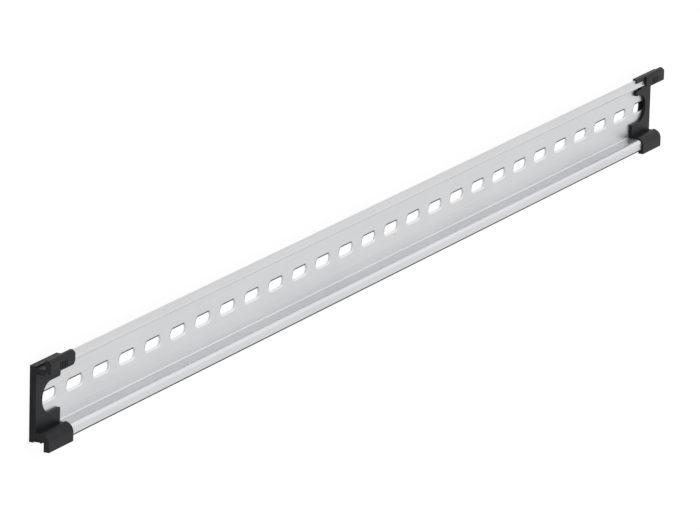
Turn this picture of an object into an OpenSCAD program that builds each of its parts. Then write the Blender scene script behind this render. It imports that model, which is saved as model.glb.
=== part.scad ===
// Slotted top-hat mounting rail with a moulded clip-on holder at each end.
// It lies on its back with the open channel up: X along the rail, Y across, Z up.

/* [Rail] */
// Overall width across both flanges
rail_w = 35; // [30:0.5:45]
// Height from the back of the web to the front of the flanges
rail_h = 7.5; // [6.5:0.5:15]
// Thickness of the sheet
sheet_t = 1; // [0.8:0.1:1.5]
// Clear width of the channel between its two walls
channel_w = 25; // [22:0.5:26]
// Radius on the inside of each bend
bend_r = 0.8; // [0.5:0.1:1.2]

/* [Slots] */
// Number of slots in the web
slot_n = 27; // [3:1:40]
// Distance from one slot to the next
slot_pitch = 20; // [17:0.5:30]
// Distance from the rail's left end to the middle of the first slot
first_slot = 10; // [8:0.5:12]
// Distance from the middle of the last slot to the rail's right end
last_slot = 7.5; // [7:0.5:12]
// Overall length of a slot
slot_l = 12.2; // [8:0.1:15]
// Width of a slot
slot_w = 4.2; // [3:0.1:6.5]

/* [Holders] */
// Length of rail that a holder covers
grip_l = 17; // [14:0.5:22]
// Thickness of the wall that closes the rail's end
end_t = 1.2; // [0.8:0.1:2.5]
// Thickness of the holder behind the web
back_t = 0.5; // [0.4:0.1:1.5]
// Thickness of the plate in front of the web
plate_t = 1.2; // [0.6:0.1:1.5]
// Radius of the round end of the cut-out in the plate
cutout_r = 6.4; // [5:0.1:8]
// Width of the tongue above the cut-out
tongue_w = 2.4; // [2:0.1:4]
// Length of the tongue of the right-hand holder, from the rail's end
short_tongue = 13.5; // [12.5:0.5:17]
// Width of the strip behind the web at the rail's end
strip_w = 5.4; // [3.5:0.1:8]
// Clearance between a holder and the rail
fit_gap = 0.1; // [0.05:0.05:0.2]

/* [Lower hook] */
// Thickness of the hook in front of the flange
hook_t = 0.8; // [0.7:0.1:1.5]
// Outer radius of the hook's bend
hook_r = 3.8; // [3:0.1:4.2]
// How far the hook reaches past the flange
hook_drop = 1.6; // [0.4:0.1:2]
// Thickness of the hook's floor between the plate and the bend
floor_t = 0.35; // [0.2:0.05:0.6]
// Thickness of the holder outside the lower wall
foot_t = 2.5; // [1.8:0.1:3]

/* [Upper block] */
// Thickness of the block in front of the flange
block_t = 1.2; // [0.9:0.1:2.5]
// Width of the block, from the flange's edge towards the channel
block_w = 5.2; // [4.5:0.1:7]
// Thickness of the block over the flange's edge
cap_t = 0.3; // [0.2:0.1:0.6]
// How far the block's top edge is bevelled
block_bevel = 0.7; // [0.3:0.1:1]
// Radius of the block's free corner
block_r = 2; // [1:0.1:2.5]

/* [Ridge of the left-hand holder] */
// Length of the ridge along the back of the upper wall
ridge_l = 18.5; // [15:0.5:24]
// How far the ridge stands out from the upper wall
ridge_t = 1.2; // [0.8:0.1:1.6]
// Height of the ridge, from the holder's back
ridge_h = 3; // [2:0.5:4]
// Thickness of the holder over the upper wall
cover_t = 0.5; // [0.4:0.1:0.7]

/* [Edge clip of the right-hand holder] */
// Thickness of the clip round the edge of the upper flange
clip_t = 0.4; // [0.3:0.1:0.9]
// How far the clip reaches down the face of the flange
clip_lip = 1.6; // [1:0.1:3]
// Length of the clip
clip_l = 22; // [12:0.5:26]
// How far the clip runs past the plate
clip_run = 9; // [4:0.5:14]

/* [Grip grooves] */
// Number of grooves in the face of the block
groove_n = 5; // [2:1:7]
// Distance from one groove to the next
groove_pitch = 1.2; // [1:0.1:1.6]
// Width and depth of a groove
groove_w = 0.5; // [0.2:0.05:0.6]

/* [Hidden] */
$fn = 96;

// Length of the rail, from its slots
rail_l = first_slot + (slot_n - 1) * slot_pitch + last_slot;
first_slot_x = first_slot - rail_l / 2;
// The rail's back stands clear of the floor on the holders' backs
rail_z = back_t + fit_gap;
web_top = rail_z + sheet_t;
flange_top = rail_z + rail_h;
flange_low = flange_top - sheet_t;
wall_in = channel_w / 2;
wall_out = wall_in + sheet_t;
edge_y = rail_w / 2;
// Faces of a holder
plate_z = web_top + fit_gap + plate_t;
foot_y = -(wall_out + fit_gap + foot_t);
ridge_y = wall_out + fit_gap + ridge_t;
hook_z = flange_top + fit_gap + hook_t;
hook_y = -(wall_in - fit_gap - hook_t);
block_z = flange_top + fit_gap + block_t;
cap_y = edge_y + fit_gap + cap_t;
// Cuts run this far past a face
past = 1;

// A quarter of a ring between two radii, in the quadrant of +X and -Y
module quarter_ring(inner, outer) {
    difference() {
        intersection() {
            circle(r = outer);
            translate([0, -outer]) square([outer, outer]);
        }
        circle(r = inner);
    }
}

// One half of the hat section from the middle of the web to a flange's edge,
// thickened by `grow` on every side
module half_hat(grow) {
    inner = bend_r - grow;
    outer = bend_r + sheet_t + grow;
    web_end = wall_in - bend_r;
    flange_start = wall_out + bend_r;
    upper_bend = rail_h - sheet_t - bend_r;
    translate([0, -grow]) square([web_end, sheet_t + 2 * grow]);
    translate([web_end, sheet_t + bend_r]) quarter_ring(inner, outer);
    translate([wall_in - grow, sheet_t + bend_r])
        square([sheet_t + 2 * grow, upper_bend - sheet_t - bend_r]);
    translate([flange_start, upper_bend]) rotate(180) quarter_ring(inner, outer);
    translate([flange_start, rail_h - sheet_t - grow])
        square([edge_y + grow - flange_start, sheet_t + 2 * grow]);
}

// The whole hat section
module hat(grow = 0) {
    half_hat(grow);
    mirror([1, 0]) half_hat(grow);
}

// Turns a section drawn in Y and Z into a bar along +X
module along_x(x, length) {
    translate([x, 0, 0]) rotate([90, 0, 90]) linear_extrude(length) children();
}

// A slot with round ends, cut through the web
module slot_cut(x) {
    middle = slot_l - slot_w;
    translate([x, 0, rail_z - past]) {
        for (side = [-1, 1])
            translate([side * middle / 2, 0, 0]) cylinder(d = slot_w, h = sheet_t + 2 * past);
        translate([-middle / 2, -slot_w / 2, 0]) cube([middle, slot_w, sheet_t + 2 * past]);
    }
}

module rail() {
    color("lightgrey") difference() {
        along_x(-rail_l / 2, rail_l) translate([0, rail_z]) hat();
        for (i = [0 : slot_n - 1]) slot_cut(first_slot_x + i * slot_pitch);
    }
}

// Section of the back and the plate, which hold the web between them
module web_sleeve_section() {
    translate([foot_y, 0]) square([wall_in - foot_y, rail_z]);
    translate([-wall_in, 0]) square([channel_w, plate_z]);
}

// Section of the lower hook: a thin floor, then a bend over wall and flange
module hook_section() {
    bend_y = hook_y - hook_r;
    bend_z = hook_z - hook_r;
    floor_y = -(wall_in - fit_gap - floor_t);
    translate([foot_y, 0]) square([floor_y - foot_y, bend_z]);
    translate([bend_y, bend_z]) intersection() {
        circle(r = hook_r);
        square([hook_r, hook_r]);
    }
    translate([-edge_y - hook_drop, flange_low - back_t])
        square([edge_y + hook_drop + bend_y, hook_z - flange_low + back_t]);
}

// Section of the ridge outside the upper wall, and of the cover above it
module ridge_section() {
    low_y = wall_in - past;
    translate([low_y, 0]) square([ridge_y - low_y, ridge_h]);
    translate([low_y, 0]) square([wall_out + fit_gap + cover_t - low_y, flange_low]);
}

// Section of the upper block, which covers the front and the edge of the upper flange
module block_section() {
    low_y = edge_y - block_w;
    polygon([
        [low_y, flange_top],
        [edge_y, flange_top],
        [edge_y, flange_low],
        [cap_y, flange_low],
        [cap_y, flange_top + fit_gap],
        [edge_y - block_bevel, block_z],
        [low_y, block_z]
    ]);
}

// Section of the wall that closes the rail's end, with an arch between its feet
module end_wall_section() {
    arch_r = (flange_low - back_t) / 4;
    difference() {
        union() {
            web_sleeve_section();
            hook_section();
            block_section();
            translate([0, rail_z]) hat(fit_gap);
        }
        translate([foot_y, flange_low / 2]) circle(r = arch_r);
    }
}

// A cut-out with one round end, open towards the middle of the rail
module cutout(centre_x, z, height) {
    reach = grip_l + past;
    translate([centre_x, 0, z]) {
        cylinder(r = cutout_r, h = height);
        translate([0, -cutout_r, 0]) cube([reach - centre_x, 2 * cutout_r, height]);
    }
}

// What is taken off a square corner to leave it round; the corner is at the
// origin and the solid lies towards -X and +Y
module round_corner(r, height) {
    difference() {
        translate([-r, -past, 0]) cube([r + past, r + past, height]);
        translate([-r, r, -past]) cylinder(r = r, h = height + 2 * past);
    }
}

// Room with a round end above the tongue, between the plate and the upper wall
module tongue_gap() {
    low = cutout_r + tongue_w;
    width = wall_in - low;
    translate([slot_pitch / 2, low, web_top + fit_gap]) {
        cube([grip_l, width, rail_h]);
        translate([0, width / 2, 0]) cylinder(d = width, h = rail_h);
    }
}

// Grooves across the face of the block that give a grip
module grip_grooves() {
    span = (groove_n - 1) * groove_pitch + groove_w;
    start = (grip_l - span) / 2;
    for (i = [0 : groove_n - 1])
        translate([start + i * groove_pitch, edge_y - block_w + block_t / 2, block_z - groove_w])
            cube([groove_w, block_w - 2 * block_t, groove_w + past]);
}

// What is taken off a tongue to end it at a length, with its two corners round
module tongue_end(length) {
    height = flange_low - web_top;
    for (low = [0, 1])
        translate([length, cutout_r + low * tongue_w, web_top]) mirror([0, low, 0])
            round_corner(tongue_w / 3, height);
    translate([length, cutout_r - past, web_top]) cube([grip_l, tongue_w + 2 * past, height]);
}

// One holder with the rail's end at X = 0, and a tongue of the length given
module holder_body(tongue_l) {
    low_y = edge_y - block_w;
    difference() {
        union() {
            along_x(-end_t, end_t) end_wall_section();
            along_x(0, grip_l) {
                web_sleeve_section();
                hook_section();
                block_section();
            }
        }
        along_x(0, grip_l + past) translate([0, rail_z]) hat(fit_gap);
        cutout(slot_pitch / 2, web_top, plate_z);
        cutout(strip_w + cutout_r, -past, rail_z + past);
        tongue_gap();
        tongue_end(tongue_l);
        translate([grip_l, low_y, web_top]) round_corner(block_r, block_z);
        grip_grooves();
    }
}

// Bar along the back of the upper wall, from the end wall's outer face
module wall_ridge() {
    difference() {
        along_x(-end_t, end_t + ridge_l) ridge_section();
        along_x(0, ridge_l + past) translate([0, rail_z]) hat(fit_gap);
    }
}

// Thin channel round the edge of the upper flange
module edge_clip() {
    clip_y = edge_y + fit_gap + clip_t;
    clip_low = flange_low - fit_gap - clip_t;
    along_x(grip_l + clip_run - clip_l, clip_l) translate([edge_y - clip_lip, clip_low])
        square([clip_y - edge_y + clip_lip, flange_top + fit_gap + clip_t - clip_low]);
}

module end_holder_left() {
    color("dimgrey") translate([-rail_l / 2, 0, 0]) {
        holder_body(grip_l);
        wall_ridge();
    }
}

module end_holder_right() {
    color("dimgrey") translate([rail_l / 2, 0, 0]) mirror([1, 0, 0]) difference() {
        union() {
            holder_body(short_tongue);
            edge_clip();
        }
        along_x(0, grip_l + clip_run + past) translate([0, rail_z]) hat(fit_gap);
    }
}

rail();
end_holder_left();
end_holder_right();
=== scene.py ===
"""Looks of a slotted top-hat rail with a moulded black holder clipped on each end."""

import logging
import math
from dataclasses import dataclass, field
from enum import Enum

import bmesh
import bpy
import numpy as np
from mathutils import Matrix, Vector

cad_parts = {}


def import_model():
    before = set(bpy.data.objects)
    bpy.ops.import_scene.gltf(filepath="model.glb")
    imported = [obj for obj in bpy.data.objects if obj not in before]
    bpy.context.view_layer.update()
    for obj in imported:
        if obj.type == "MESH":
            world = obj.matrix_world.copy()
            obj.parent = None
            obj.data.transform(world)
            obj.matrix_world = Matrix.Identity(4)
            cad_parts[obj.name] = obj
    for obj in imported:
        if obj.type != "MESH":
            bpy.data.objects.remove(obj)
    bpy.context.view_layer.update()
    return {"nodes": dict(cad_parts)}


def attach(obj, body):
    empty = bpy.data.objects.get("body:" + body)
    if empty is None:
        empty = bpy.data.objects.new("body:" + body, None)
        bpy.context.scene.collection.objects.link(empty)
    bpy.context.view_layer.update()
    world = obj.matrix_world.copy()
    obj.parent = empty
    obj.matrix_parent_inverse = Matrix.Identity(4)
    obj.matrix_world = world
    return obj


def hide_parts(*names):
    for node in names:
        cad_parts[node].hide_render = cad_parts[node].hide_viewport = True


LOG = logging.getLogger("din_rail")
MM = 0.001
BODY = "root"
# Mesh marks of the rail: sheared faces, then painted shade, then a painted highlight on rims and edges
MARKS = ("cut", "painted_shade", "painted_highlight")
WELD_DIGITS = 7
HAIR = 1e-6
WHITE = (1.0, 1.0, 1.0, 1.0)
Colour = tuple[float, float, float]
Tint = Colour | bpy.types.NodeSocket


class End(Enum):
    """The two ends of the rail, by the CAD node that closes each."""

    LEFT = "end_holder_left"
    RIGHT = "end_holder_right"


# --------------------------------------------------------------------------
# Shader graphs
# --------------------------------------------------------------------------


@dataclass(frozen=True)
class Speckle:
    """A noise: its stretch along each axis, cycles a metre, octaves, and the finer ones' strength."""

    stretch: tuple[float, float, float]
    scale: float
    octaves: float
    rough: float


class Wire:
    """A number that runs through a shader graph; Python's operators add its Math nodes."""

    def __init__(self, graph: "Graph", socket: bpy.types.NodeSocket) -> None:
        """Keeps the graph and the output socket that carries the number.

        Args:
            graph: The graph that new nodes go into.
            socket: The output socket.
        """
        self.graph = graph
        self.socket = socket

    def _math(self, operation: str, *values: "Wire | float") -> "Wire":
        """Adds one Math node on the values and returns its result."""
        inputs = dict(enumerate(values))
        return self.graph.wire("ShaderNodeMath", {"operation": operation}, inputs)

    def __add__(self, other: "Wire | float") -> "Wire":
        """Sum of the two."""
        return self._math("ADD", self, other)

    def __radd__(self, other: float) -> "Wire":
        """Sum, with the number first."""
        return self._math("ADD", other, self)

    def __sub__(self, other: "Wire | float") -> "Wire":
        """Difference of the two."""
        return self._math("SUBTRACT", self, other)

    def __rsub__(self, other: float) -> "Wire":
        """Difference, with the number first."""
        return self._math("SUBTRACT", other, self)

    def __mul__(self, other: "Wire | float") -> "Wire":
        """Product of the two."""
        return self._math("MULTIPLY", self, other)

    def __rmul__(self, other: float) -> "Wire":
        """Product, with the number first."""
        return self._math("MULTIPLY", other, self)

    def between(self, low: float, high: float) -> "Wire":
        """Smooth step from 0 at the low value to 1 at the high one.

        Args:
            low: Value that gives 0.
            high: Value that gives 1.

        Returns:
            The step as a wire.
        """
        settings = {"interpolation_type": "SMOOTHSTEP"}
        return self.graph.wire("ShaderNodeMapRange", settings, {0: self, 1: low, 2: high}, 0)

    def most(self, other: "Wire | float") -> "Wire":
        """The greater of the two."""
        return self._math("MAXIMUM", self, other)


class Graph:
    """Node graph of one material or of the world."""

    def __init__(self, owner: bpy.types.ID) -> None:
        """Clears the owner's nodes.

        Args:
            owner: The material or world whose node tree is filled.
        """
        owner.use_nodes = True
        self.tree = owner.node_tree
        self.tree.nodes.clear()

    def node(self, kind: str, settings: dict | None = None, inputs: dict | None = None) -> bpy.types.Node:
        """Adds a node, sets it up, then fills its sockets.

        Args:
            kind: The node's type.
            settings: Properties by name.
            inputs: Values, wires or output sockets, by socket name or number.

        Returns:
            The node.
        """
        made = self.tree.nodes.new(kind)
        for name, value in (settings or {}).items():
            setattr(made, name, value)
        for key, value in (inputs or {}).items():
            if isinstance(value, Wire):
                self.tree.links.new(value.socket, made.inputs[key])
            elif isinstance(value, bpy.types.NodeSocket):
                self.tree.links.new(value, made.inputs[key])
            else:
                made.inputs[key].default_value = value
        return made

    def wire(
        self, kind: str, settings: dict | None = None, inputs: dict | None = None, output: int | str = 0
    ) -> Wire:
        """Adds a node and returns one of its outputs as a wire.

        Args:
            kind: The node's type.
            settings: Properties by name.
            inputs: Values, wires or sockets by socket name or number.
            output: The output's name or number.

        Returns:
            The output.
        """
        return Wire(self, self.node(kind, settings, inputs).outputs[output])

    def noise(self, speckle: Speckle) -> Wire:
        """Soft noise from 0 to 1, centred on 0.5, that stays put on the object.

        Args:
            speckle: Its stretch, scale and octaves.

        Returns:
            The noise as a wire.
        """
        here = self.node("ShaderNodeTexCoord").outputs["Object"]
        where = self.node("ShaderNodeMapping", None, {"Vector": here, "Scale": speckle.stretch}).outputs[0]
        inputs = {
            "Vector": where, "Scale": speckle.scale, "Detail": speckle.octaves, "Roughness": speckle.rough}
        return self.wire("ShaderNodeTexNoise", None, inputs)

    def bump(self, height: Wire, strength: float, depth: float) -> bpy.types.NodeSocket:
        """Normal of a surface roughened by a height from 0 to 1, as deep as the depth in metres."""
        inputs = {"Strength": strength, "Distance": depth, "Height": height}
        return self.node("ShaderNodeBump", None, inputs).outputs[0]

    def attribute(self, name: str) -> Wire:
        """Reads a number that the mesh carries at each vertex."""
        return self.wire("ShaderNodeAttribute", {"attribute_name": name}, None, "Fac")

    def blend(self, factor: Wire, first: Tint, second: Tint) -> bpy.types.NodeSocket:
        """Colour between the first (factor 0) and the second (factor 1)."""
        ends = [(*tint, 1.0) if isinstance(tint, tuple) else tint for tint in (first, second)]
        inputs = {0: factor, 6: ends[0], 7: ends[1]}
        return self.node("ShaderNodeMix", {"data_type": "RGBA"}, inputs).outputs[2]


# --------------------------------------------------------------------------
# Finishes
# --------------------------------------------------------------------------


@dataclass(frozen=True)
class MillMetal:
    """Rolled metal strip with its mill finish: fine streaks along the rail and soft clouds.

    Three attributes from 0 to 1 steer it: "cut" marks sheared faces, the second paints shade
    dark onto the slots' rims on one side and the -Y flange's front edge, and the third paints a
    highlight bright onto the rims on the other side and the +Y flange's front bend.
    """

    name: str = "rail_aluminium"
    light: Colour = (0.715, 0.722, 0.735)
    dark: Colour = (0.655, 0.662, 0.677)
    cut_edge: Colour = (0.60, 0.605, 0.62)
    # Colour of the painted highlight
    painted_highlight: Colour = (0.93, 0.935, 0.945)
    # Colour of the painted shade
    painted_shade: Colour = (0.055, 0.056, 0.060)
    streaks: Speckle = Speckle((14.0, 900.0, 900.0), 1.0, 4.0, 0.6)
    fine_streaks: Speckle = Speckle((90.0, 5200.0, 5200.0), 1.0, 3.0, 0.55)
    clouds: Speckle = Speckle((1.0, 1.6, 1.6), 24.0, 3.0, 0.5)
    pits: Speckle = Speckle((1.0, 1.0, 1.0), 2600.0, 2.0, 0.6)
    tone_span: tuple[float, float] = (0.25, 0.75)
    roughness: float = 0.38
    roughness_swing: float = 0.10
    cut_share: float = 0.8
    cut_roughness: float = 0.08
    # Roughness of the dark shader that paints shade
    painted_shade_roughness: float = 0.8
    bump_strength: float = 0.5
    grain_depth: float = 0.010 * MM

    def build(self) -> bpy.types.Material:
        """Builds the material.

        Returns:
            The material.
        """
        material = bpy.data.materials.new(self.name)
        graph = Graph(material)
        streaks, fine = graph.noise(self.streaks), graph.noise(self.fine_streaks)
        clouds, pits = graph.noise(self.clouds), graph.noise(self.pits)
        cut = graph.attribute("cut")
        tone = 0.45 * streaks + 0.2 * fine + 0.45 * clouds - 0.05
        sheet = graph.blend(tone.between(*self.tone_span), self.dark, self.light)
        sheet = graph.blend(cut * self.cut_share, sheet, self.cut_edge)
        # Painted highlight: the sheet turns pale where the mark says
        sheet = graph.blend(graph.attribute("painted_highlight"), sheet, self.painted_highlight)
        gloss = self.roughness + (0.5 * streaks + 0.5 * clouds - 0.5) * self.roughness_swing
        gloss = gloss + cut * self.cut_roughness
        height = 0.5 * fine + 0.3 * pits + 0.2 * streaks
        bump = graph.bump(height, self.bump_strength, self.grain_depth)
        bright = graph.node("ShaderNodeBsdfPrincipled", None, {
            "Base Color": sheet, "Metallic": 1.0, "Roughness": gloss, "Normal": bump})
        # Painted shade: a dark matte shader mixed in where the mark says
        painted_dark = graph.node("ShaderNodeBsdfPrincipled", None, {
            "Base Color": (*self.painted_shade, 1.0), "Roughness": self.painted_shade_roughness, "Specular IOR Level": 0.0})
        shader = graph.node("ShaderNodeMixShader", None, {
            0: graph.attribute("painted_shade"), 1: bright.outputs[0], 2: painted_dark.outputs[0]})
        graph.node("ShaderNodeOutputMaterial", None, {0: shader.outputs[0]})
        return material


@dataclass(frozen=True)
class BlackMoulding:
    """Black glass-filled plastic as it leaves the mould: satin, with a fine grain."""

    name: str = "holder_plastic"
    light: Colour = (0.0150, 0.0155, 0.0178)
    dark: Colour = (0.0072, 0.0075, 0.0088)
    flow: Speckle = Speckle((1.0, 1.7, 1.0), 160.0, 3.0, 0.55)
    grain: Speckle = Speckle((1.0, 1.0, 1.0), 2400.0, 3.0, 0.6)
    tone_span: tuple[float, float] = (0.3, 0.7)
    specular: float = 0.13
    roughness: float = 0.42
    roughness_swing: float = 0.16
    bump_strength: float = 0.6
    grain_depth: float = 0.02 * MM

    def build(self) -> bpy.types.Material:
        """Builds the material.

        Returns:
            The material.
        """
        material = bpy.data.materials.new(self.name)
        graph = Graph(material)
        flow, grain = graph.noise(self.flow), graph.noise(self.grain)
        tone = (0.65 * flow + 0.35 * grain).between(*self.tone_span)
        gloss = self.roughness + (0.6 * flow + 0.4 * grain - 0.5) * self.roughness_swing
        bump = graph.bump(grain, self.bump_strength, self.grain_depth)
        shader = graph.node("ShaderNodeBsdfPrincipled", None, {
            "Base Color": graph.blend(tone, self.dark, self.light), "Roughness": gloss,
            "Specular IOR Level": self.specular, "Normal": bump})
        graph.node("ShaderNodeOutputMaterial", None, {0: shader.outputs[0]})
        return material


# --------------------------------------------------------------------------
# Mesh helpers
# --------------------------------------------------------------------------


@dataclass
class Shell:
    """Points, quads and marks gathered from grids, then welded into one mesh."""

    points: list[np.ndarray] = field(default_factory=list)
    faces: list[np.ndarray] = field(default_factory=list)
    marks: list[np.ndarray] = field(default_factory=list)
    count: int = 0

    def add_grid(self, grid: np.ndarray, *marks: np.ndarray | float) -> None:
        """Adds a grid of points as quads.

        Each cell of the grid, between rows i and i+1 and columns j and j+1, becomes one
        face, with its corners in the order (i, j), (i+1, j), (i+1, j+1), (i, j+1).

        Args:
            grid: Points as an array of rows x columns x 3.
            marks: Values of the attributes in MARKS, for all or by point; those left out are 0.
        """
        rows, columns = grid.shape[:2]
        index = self.count + np.arange(rows * columns).reshape(rows, columns)
        corners = (index[:-1, :-1], index[1:, :-1], index[1:, 1:], index[:-1, 1:])
        self.points.append(grid.reshape(-1, 3))
        self.faces.append(np.stack(corners, axis=-1).reshape(-1, 4))
        given = (*marks, *[0.0] * (len(MARKS) - len(marks)))
        self.marks.append(np.stack([np.broadcast_to(mark, (rows, columns)).reshape(-1) for mark in given]))
        self.count += rows * columns

    def weld(self, name: str) -> bpy.types.Object:
        """Joins points that share a place and makes the object.

        Points are rounded to a tenth of a micrometre, equal ones become one vertex, and a
        face that loses a corner by it keeps the other three.

        Args:
            name: Name of the piece.

        Returns:
            The object, linked to the scene.
        """
        points, faces = np.concatenate(self.points), np.concatenate(self.faces)
        _, first, where = np.unique(
            np.round(points, WELD_DIGITS), axis=0, return_index=True, return_inverse=True)
        faces = where.reshape(-1)[faces]
        kept = faces != np.roll(faces, 1, axis=1)
        kept &= kept.sum(axis=1, keepdims=True) > 2
        corners = kept.sum(axis=1)
        corners = corners[corners > 0]
        mesh = bpy.data.meshes.new(name)
        mesh.vertices.add(len(first))
        mesh.vertices.foreach_set("co", points[first].reshape(-1).astype(np.float32))
        mesh.loops.add(int(corners.sum()))
        mesh.loops.foreach_set("vertex_index", faces[kept].astype(np.int32))
        mesh.polygons.add(len(corners))
        mesh.polygons.foreach_set("loop_start", (np.cumsum(corners) - corners).astype(np.int32))
        mesh.update(calc_edges=True)
        for label, values in zip(MARKS, np.concatenate(self.marks, axis=1)):
            layer = mesh.attributes.new(label, "FLOAT", "POINT")
            layer.data.foreach_set("value", values[first].astype(np.float32))
        mesh.polygons.foreach_set("use_smooth", np.ones(len(mesh.polygons), dtype=bool))
        mesh.validate()
        piece = bpy.data.objects.new(name, mesh)
        bpy.context.scene.collection.objects.link(piece)
        return piece


def face_outwards(mesh: bpy.types.Mesh) -> None:
    """Turns all faces of a closed mesh outwards.

    Args:
        mesh: The mesh, changed in place.
    """
    work = bmesh.new()
    work.from_mesh(mesh)
    bmesh.ops.recalc_face_normals(work, faces=work.faces)
    work.to_mesh(mesh)
    work.free()


def arc(centre: tuple[float, float], radius: float, start: float, end: float, steps: int) -> np.ndarray:
    """Points on a circle, from one angle to another in degrees, both ends included."""
    angle = np.radians(np.linspace(start, end, steps + 1))
    return np.stack([centre[0] + radius * np.cos(angle), centre[1] + radius * np.sin(angle)], axis=-1)


def end_cap(x: float, front: np.ndarray, back: np.ndarray) -> np.ndarray:
    """Strip that closes the sheet at one end, between its front line and its back line.

    Args:
        x: Where the end is.
        front: Points of the front line as (y, z).
        back: Points of the back line, as many.

    Returns:
        A grid of points x 2 x 3.
    """
    pairs = np.stack([front, back], axis=1)
    return np.concatenate([np.full((*pairs.shape[:2], 1), x), pairs], axis=-1)


# --------------------------------------------------------------------------
# The rail
# --------------------------------------------------------------------------


@dataclass
class SlottedRail:
    """The rolled top-hat strip with its punched slots. Sizes in millimetres, angles in degrees.

    A guard is the distance from a bend or rim to the next row of points, which keeps the flat
    beside it flat. A fade gives the cosines to a heading between which a mark comes in.
    """

    # The section; base is the height of the web's back over the floor
    width: float = 35.0
    height: float = 7.5
    sheet: float = 1.0
    channel: float = 25.0
    bend: float = 0.8
    base: float = 0.6
    guard: float = 0.08
    # The row of slots
    slots: int = 27
    pitch: float = 20.0
    slot_length: float = 12.2
    slot_width: float = 4.2
    first_slot: float = 10.0
    last_slot: float = 7.5
    # The slots' rims, drawn in by the punch on the front and lightly rounded on the back
    roll_over: float = 0.66
    roll_depth: float = 0.34
    rim_guard: float = 0.15
    back_edge: float = 0.12
    back_guard: float = 0.3
    # The flanges' sheared edges, and how far in from the -Y one's round its front is painted dark as shade
    sheared_edge: float = 0.48
    shade_band: float = 0.25
    front_share: float = 0.6
    # Where the rims get painted shade and where a painted highlight, as headings from +X
    painted_shade_heading: float = 128.0
    painted_shade_fade: tuple[float, float] = (0.40, 0.76)
    painted_shade_start: float = 0.5
    painted_shade_rise: float = 5.0
    painted_highlight_heading: float = -108.0
    painted_highlight_fade: tuple[float, float] = (0.25, 0.8)
    painted_highlight_start: float = 0.1
    painted_highlight_rise: float = 0.8
    # Strength of the highlight painted on the +Y flange's front bend
    painted_highlight_bend: float = 0.3
    # Fineness of the mesh, and the angle from which an edge shades sharp
    sharp_angle: float = 60.0
    round_steps: int = 22
    straight_steps: int = 8
    bend_steps: int = 8
    edge_steps: int = 4
    rim_steps: int = 8
    back_steps: int = 3
    front_shares: tuple[float, ...] = (0.0, 0.4, 0.7, 0.9, 1.0)
    back_shares: tuple[float, ...] = (0.0, 0.5, 1.0)

    @property
    def length(self) -> float:
        """Length of the rail."""
        return self.first_slot + (self.slots - 1) * self.pitch + self.last_slot

    @property
    def web_half(self) -> float:
        """Half the width of the flat part of the web."""
        return self.channel / 2 - self.bend

    def half_profile(self) -> tuple[np.ndarray, np.ndarray]:
        """Section of one half of the hat, from the web's flat part to the flange's edge.

        The front face is the web line, a bend, the wall, a bend and the flange; the back
        face follows it one sheet thickness away, with as many points. Both end on the
        rounded sheared edge. Points beside each bend keep the flats flat.

        Returns:
            Front and back points as (y, z), from the web outwards.
        """
        inner, outer, guard = self.bend, self.bend + self.sheet, self.guard
        wall_in, wall_out = self.channel / 2, self.channel / 2 + self.sheet
        low, high, low_front = self.base, self.base + self.height, self.base + self.sheet
        high_back = high - self.sheet
        start, edge, r = self.web_half, self.width / 2, self.sheared_edge
        flange_y, shade_band_y = wall_out + inner, edge - r - self.shade_band
        # A row of points stands where the painted shade on the -Y flange begins, so its border is sharp
        web_c, flange_c = (start, low_front + inner), (flange_y, high_back - inner)
        wall_low, wall_high = web_c[1] + guard, flange_c[1] - guard
        front = [
            [(start, low_front)], arc(web_c, inner, -90, 0, self.bend_steps),
            [(wall_in, wall_low), (wall_in, wall_high)],
            arc(flange_c, outer, 180, 90, self.bend_steps),
            [(flange_y + guard, high), (shade_band_y - guard, high), (shade_band_y, high)],
            arc((edge - r, high - r), r, 90, 0, self.edge_steps),
        ]
        back = [
            [(start, low)], arc(web_c, outer, -90, 0, self.bend_steps),
            [(wall_out, wall_low), (wall_out, wall_high)],
            arc(flange_c, inner, 180, 90, self.bend_steps),
            [(flange_y + guard, high_back), (shade_band_y - guard, high_back), (shade_band_y, high_back)],
            arc((edge - r, high_back + r), r, -90, 0, self.edge_steps),
        ]
        return np.concatenate(front), np.concatenate(back)

    def stations(self) -> np.ndarray:
        """Places along X where the sweep has a row, the same as on the cells' long sides."""
        sides = [self.cell_sides(i) for i in range(self.slots)]
        rows = [np.linspace(a, b, self.straight_steps + 1) for a, b in sides]
        return np.unique(np.round(np.concatenate(rows), 6))

    def cell_sides(self, index: int) -> tuple[float, float]:
        """Left and right side of the web's field round one slot."""
        middle = self.slot_centre(index)
        right = self.pitch / 2 if index < self.slots - 1 else self.last_slot
        return middle - self.pitch / 2, middle + right

    def slot_centre(self, index: int) -> float:
        """X of the middle of a slot."""
        return self.first_slot - self.length / 2 + index * self.pitch

    def slot_loop(self, grow: float) -> np.ndarray:
        """Closed outline of a slot, grown by a distance, round its own middle.

        Two half circles are joined by two straight sides; it starts at the lower right
        tangent point and runs anticlockwise, and the last point repeats the first.

        Args:
            grow: How far the outline lies outside the slot.

        Returns:
            Points as (x, y).
        """
        half, radius = (self.slot_length - self.slot_width) / 2, self.slot_width / 2 + grow
        side = np.linspace(half, -half, self.straight_steps + 1)[1:-1]
        upper = np.stack([side, np.full_like(side, radius)], axis=-1)
        right = arc((half, 0.0), radius, -90, 90, self.round_steps)
        left = arc((-half, 0.0), radius, 90, 270, self.round_steps)
        return np.concatenate([right, upper, left, -upper, right[:1]])

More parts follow.
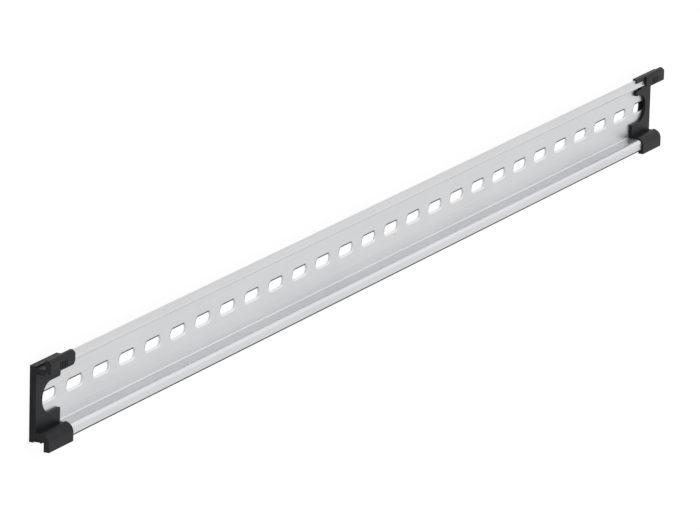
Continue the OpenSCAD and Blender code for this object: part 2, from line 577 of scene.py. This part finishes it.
    def field_loop(self, left: float, right: float) -> np.ndarray:
        """Closed outline of a web field, with a point for each point of the slot's outline.

        Args:
            left: X of the field's left side, from the slot's middle.
            right: X of its right side.

        Returns:
            Points as (x, y), in the order of the slot's outline.
        """
        high = self.web_half
        up = np.linspace(-high, high, self.round_steps + 1)
        along = np.linspace(right, left, self.straight_steps + 1)[1:-1]
        sides = [
            np.stack([np.full_like(up, right), up], axis=-1),
            np.stack([along, np.full_like(along, high)], axis=-1),
            np.stack([np.full_like(up, left), up[::-1]], axis=-1),
            np.stack([along[::-1], np.full_like(along, -high)], axis=-1),
            np.array([[right, -high]]),
        ]
        return np.concatenate(sides)

    def web_field(self, index: int) -> tuple[np.ndarray, ...]:
        """Surface of the web round one slot, from the front, through the slot, to the back.

        Rows run from the field's outline in to the slot's: straight lines between matching
        points of the two outlines, then a quarter circle over the front edge, down the
        slot's wall, a smaller quarter circle, and back out on the other face.

        Args:
            index: Number of the slot from the left, from 0.

        Returns:
            The grid of points, its "cut" values, and its painted shade and painted highlight values.
        """
        middle = self.slot_centre(index)
        left, right = self.cell_sides(index)
        outer = self.field_loop(left - middle, right - middle)
        top, bottom = self.base + self.sheet, self.base
        rim = self.slot_loop(self.roll_over + self.rim_guard)
        back_rim = self.slot_loop(self.back_edge + self.back_guard)
        rows = [(outer + (rim - outer) * share, top, 0.0, 0.0, 0.0) for share in self.front_shares]
        for angle in np.radians(np.linspace(0, 90, self.rim_steps + 1)):
            drawn = math.sin(angle)
            loop = self.slot_loop(self.roll_over * (1 - drawn))
            depth = self.roll_depth * (1 - math.cos(angle))
            # Painted shade and painted highlight grow as the rim turns into the slot
            painted_shade = min(1.0, self.painted_shade_start + self.painted_shade_rise * drawn)
            painted_highlight = self.painted_highlight_start + self.painted_highlight_rise * drawn
            rows.append((loop, top - depth, angle / math.pi, painted_shade, painted_highlight))
        for angle in np.radians(np.linspace(90, 0, self.back_steps + 1)):
            loop = self.slot_loop(self.back_edge * (1 - math.sin(angle)))
            # The back rim gets painted highlight as it turns
            rows.append((loop, bottom + self.back_edge * (1 - math.cos(angle)), 1.0, 0.0, math.sin(angle)))
        rows += [
            (back_rim + (outer - back_rim) * share, bottom, 0.0, 0.0, 0.0) for share in self.back_shares]
        grid = np.stack([np.column_stack([loop, np.full(len(loop), z)]) for loop, z, *_ in rows])
        grid[..., 0] += middle
        cut, painted_shade, painted_highlight = (np.array([row[k] for row in rows])[:, None] for k in (2, 3, 4))
        # Painted shade goes to rims facing one heading, painted highlight to those facing another
        return (
            grid * MM, cut, painted_shade * self.rim_towards(self.painted_shade_heading, *self.painted_shade_fade),
            painted_highlight * self.rim_towards(self.painted_highlight_heading, *self.painted_highlight_fade))

    def rim_towards(self, heading: float, low: float, high: float) -> np.ndarray:
        """How far a slot's outline faces a heading at each of its points.

        The cosine of the angle between the outline's normal and the heading goes through a
        smooth step from 0 at the low value to 1 at the high one.

        Args:
            heading: Angle from +X in degrees.
            low: Cosine that gives 0.
            high: Cosine that gives 1.

        Returns:
            A number from 0 to 1 for each point.
        """
        loop, half = self.slot_loop(0.0), (self.slot_length - self.slot_width) / 2
        normal = loop - np.column_stack([np.clip(loop[:, 0], -half, half), np.zeros(len(loop))])
        normal /= np.linalg.norm(normal, axis=1, keepdims=True)
        angle = math.radians(heading)
        towards = normal @ np.array([math.cos(angle), math.sin(angle)])
        step = np.clip((towards - low) / (high - low), 0.0, 1.0)
        return step * step * (3.0 - 2.0 * step)

    def build(self) -> bpy.types.Object:
        """Builds the whole rail as one closed shell.

        Returns:
            The rail's object.
        """
        shell = Shell()
        x = self.stations()
        front, back = self.half_profile()
        section = np.concatenate([front, back[::-1]])
        across, height = section[:, 0] + HAIR, section[:, 1]
        front_face = height > self.base + self.height - self.front_share * self.sheet
        edge = across > self.width / 2 - self.sheared_edge
        # Painted shade on the -Y flange's front edge
        painted_dark = (across > self.width / 2 - self.sheared_edge - self.shade_band) & front_face
        bend = (across < self.channel / 2 + self.sheet + self.bend + 2 * HAIR) & front_face
        # Side +Y gets the painted highlight on its bend, side -Y the painted shade on its edge
        for side, painted_shade, bend_highlight in ((1, 0.0, self.painted_highlight_bend), (-1, 1.0, 0.0)):
            grid = np.empty((len(x), len(section), 3))
            grid[..., 0] = x[:, None]
            grid[..., 1] = side * section[None, :, 0]
            grid[..., 2] = section[None, :, 1]
            shell.add_grid(grid * MM, edge.astype(float), painted_shade * painted_dark, bend_highlight * bend)
            for end in (x[0], x[-1]):
                shell.add_grid(end_cap(end, front * (side, 1), back * (side, 1)) * MM, 1.0)
        up = np.linspace(-self.web_half, self.web_half, self.round_steps + 1)
        web = [np.column_stack([up, np.full_like(up, z)]) for z in (self.base + self.sheet, self.base)]
        for end in (x[0], x[-1]):
            shell.add_grid(end_cap(end, *web) * MM, 1.0)
        for index in range(self.slots):
            shell.add_grid(*self.web_field(index))
        piece = shell.weld("slotted_rail")
        face_outwards(piece.data)
        return piece

    def dress(self, piece: bpy.types.Object, metal: bpy.types.Material) -> None:
        """Gives the rail its finish and puts it in place of its plain solid.

        Args:
            piece: The rail's object.
            metal: The finish.
        """
        piece.data.materials.append(metal)
        piece.data.set_sharp_from_angle(angle=math.radians(self.sharp_angle))
        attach(piece, BODY)
        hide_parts("rail")


# --------------------------------------------------------------------------
# The holders
# --------------------------------------------------------------------------


@dataclass
class EndHolder:
    """A moulded holder at one end of the rail. Sizes in millimetres."""

    end: End
    edge_radius: float = 0.22
    edge_segments: int = 3
    weld_gap: float = 0.002
    flat_angle: float = 2.0
    bevel_angle: float = 32.0

    def build(self, solid: bpy.types.Object) -> bpy.types.Object:
        """Copies the holder's solid, merges it, and rounds its edges as a mould does.

        Triangles of one flat face are joined, then each edge sharper than the bevel angle
        becomes a small round.

        Args:
            solid: The CAD node, which is left as it is.

        Returns:
            The holder's object.
        """
        mesh = solid.data.copy()
        mesh.materials.clear()
        work = bmesh.new()
        work.from_mesh(mesh)
        bmesh.ops.remove_doubles(work, verts=work.verts, dist=self.weld_gap * MM)
        bmesh.ops.recalc_face_normals(work, faces=work.faces)
        bmesh.ops.dissolve_limit(
            work, angle_limit=math.radians(self.flat_angle), use_dissolve_boundaries=False,
            verts=work.verts, edges=work.edges)
        work.to_mesh(mesh)
        work.free()
        piece = bpy.data.objects.new(self.end.value + "_moulding", mesh)
        bpy.context.scene.collection.objects.link(piece)
        bevel = piece.modifiers.new("mould_radius", "BEVEL")
        bevel.width = self.edge_radius * MM
        bevel.segments = self.edge_segments
        bevel.limit_method = "ANGLE"
        bevel.angle_limit = math.radians(self.bevel_angle)
        bevel.use_clamp_overlap = True
        bevel.harden_normals = True
        mesh.polygons.foreach_set("use_smooth", np.ones(len(mesh.polygons), dtype=bool))
        mesh.set_sharp_from_angle(angle=math.radians(self.bevel_angle))
        return piece

    def dress(self, piece: bpy.types.Object, plastic: bpy.types.Material) -> None:
        """Gives the holder its finish and puts it in place of its plain solid.

        Args:
            piece: The holder's object.
            plastic: The finish.
        """
        piece.data.materials.append(plastic)
        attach(piece, BODY)
        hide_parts(self.end.value)


# --------------------------------------------------------------------------
# Floor, light and camera
# --------------------------------------------------------------------------


@dataclass
class Studio:
    """A white floor, a plain sky that is brighter on one side of the rail, and a soft lamp."""

    floor_size: float = 60.0
    floor_gap: float = 0.05 * MM
    floor_cloth: float = 0.9
    floor_glow: float = 1.02
    seen_white: float = 0.9
    mirrored_white: float = 0.6
    sky: float = 1.03
    horizon: float = 0.93
    horizon_fade: tuple[float, float] = (0.02, 0.4)
    side_swing: float = 0.29
    lamp_watts: float = 1.6
    lamp_size: tuple[float, float] = (1.8, 1.4)
    lamp_spot: tuple[float, float, float] = (-0.45, 0.65, 0.75)

    def floor(self) -> None:
        """Lays the floor just under the rail: white to the eye and in metal, with a soft shadow."""
        mesh = bpy.data.meshes.new("floor")
        half, below = self.floor_size / 2, -self.floor_gap
        sides = ((-half, -half), (half, -half), (half, half), (-half, half))
        mesh.from_pydata([(x, y, below) for x, y in sides], [], [(0, 1, 2, 3)])
        floor = bpy.data.objects.new("floor", mesh)
        bpy.context.scene.collection.objects.link(floor)
        material = bpy.data.materials.new("floor_white")
        graph = Graph(material)
        rays = graph.node("ShaderNodeLightPath").outputs
        seen, glossy, through = (
            Wire(graph, rays[f"Is {kind} Ray"]) for kind in ("Camera", "Glossy", "Transmission"))
        cloth = graph.node("ShaderNodeBsdfDiffuse", None, {"Color": (*[self.floor_cloth] * 3, 1.0)})
        white = graph.node("ShaderNodeEmission", None, {"Color": WHITE, "Strength": self.floor_glow})
        share = (seen * self.seen_white).most(glossy.most(through) * self.mirrored_white)
        mixed = graph.node("ShaderNodeMixShader", None, {
            0: share, 1: cloth.outputs[0], 2: white.outputs[0]})
        graph.node("ShaderNodeOutputMaterial", None, {0: mixed.outputs[0]})
        mesh.materials.append(material)

    def light(self) -> None:
        """Sets the sky, which brightens a little with height and towards +Y, and a soft lamp."""
        world = bpy.data.worlds.new("sky")
        bpy.context.scene.world = world
        graph = Graph(world)
        direction = graph.node("ShaderNodeTexCoord").outputs["Generated"]
        across, height = (
            graph.wire("ShaderNodeSeparateXYZ", None, {0: direction}, axis) for axis in (1, 2))
        strength = self.horizon + height.between(*self.horizon_fade) * (self.sky - self.horizon)
        strength = strength * (1.0 + across * self.side_swing)
        sky = graph.node("ShaderNodeBackground", None, {"Color": WHITE, "Strength": strength})
        graph.node("ShaderNodeOutputWorld", None, {0: sky.outputs[0]})
        lamp = bpy.data.lights.new("softbox", "AREA")
        lamp.energy, lamp.shape, (lamp.size, lamp.size_y) = self.lamp_watts, "RECTANGLE", self.lamp_size
        softbox = bpy.data.objects.new("softbox", lamp)
        softbox.location = self.lamp_spot
        softbox.rotation_euler = (-softbox.location).to_track_quat("-Z", "Y").to_euler()
        bpy.context.scene.collection.objects.link(softbox)


@dataclass
class ViewPoint:
    """The camera: it looks down and along the rail, rolled so that the rail's width is upright."""

    turn: float = 61.90
    tilt: float = 16.36
    roll: float = 1.59
    focal: float = 6111.0
    distance: float = 2555.0
    aim: tuple[float, float, float] = (-20.63, -5.62, 4.6)
    frame_width: int = 700
    sensor: float = 36.0
    clip: tuple[float, float] = (0.1, 100.0)

    def place(self) -> None:
        """Puts the camera in the scene and makes it the one that is used."""
        a, e, r = (math.radians(v) for v in (self.turn, self.tilt, self.roll))
        look = Vector((math.sin(a) * math.cos(e), -math.sin(e), -math.cos(a) * math.cos(e)))
        right = Vector((math.cos(a), 0.0, math.sin(a)))
        up = Vector((math.sin(a) * math.sin(e), math.cos(e), -math.cos(a) * math.sin(e)))
        across = right * math.cos(r) + up * math.sin(r)
        above = up * math.cos(r) - right * math.sin(r)
        lens = bpy.data.cameras.new("camera")
        lens.sensor_width = self.sensor
        lens.lens = self.focal * self.sensor / self.frame_width
        lens.clip_start, lens.clip_end = self.clip
        camera = bpy.data.objects.new("camera", lens)
        spot = (Vector(self.aim) - look * self.distance) * MM
        turned = Matrix((across, above, -look)).transposed().to_4x4()
        camera.matrix_world = Matrix.Translation(spot) @ turned
        bpy.context.scene.collection.objects.link(camera)
        bpy.context.scene.camera = camera


def main() -> None:
    """Builds every piece in order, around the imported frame."""
    logging.basicConfig(level=logging.INFO, format="%(message)s")
    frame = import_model()
    view = bpy.context.scene.view_settings
    view.view_transform = "Standard"
    metal, plastic = MillMetal().build(), BlackMoulding().build()
    rail = SlottedRail()
    rail_piece = rail.build()
    rail.dress(rail_piece, metal)
    LOG.info("rail: %d faces", len(rail_piece.data.polygons))
    for end in End:
        holder = EndHolder(end)
        piece = holder.build(frame["nodes"][end.value])
        holder.dress(piece, plastic)
        LOG.info("%s: %d faces before its radii", end.value, len(piece.data.polygons))
    studio = Studio()
    studio.floor()
    studio.light()
    ViewPoint().place()


if __name__ == "__main__":
    main()
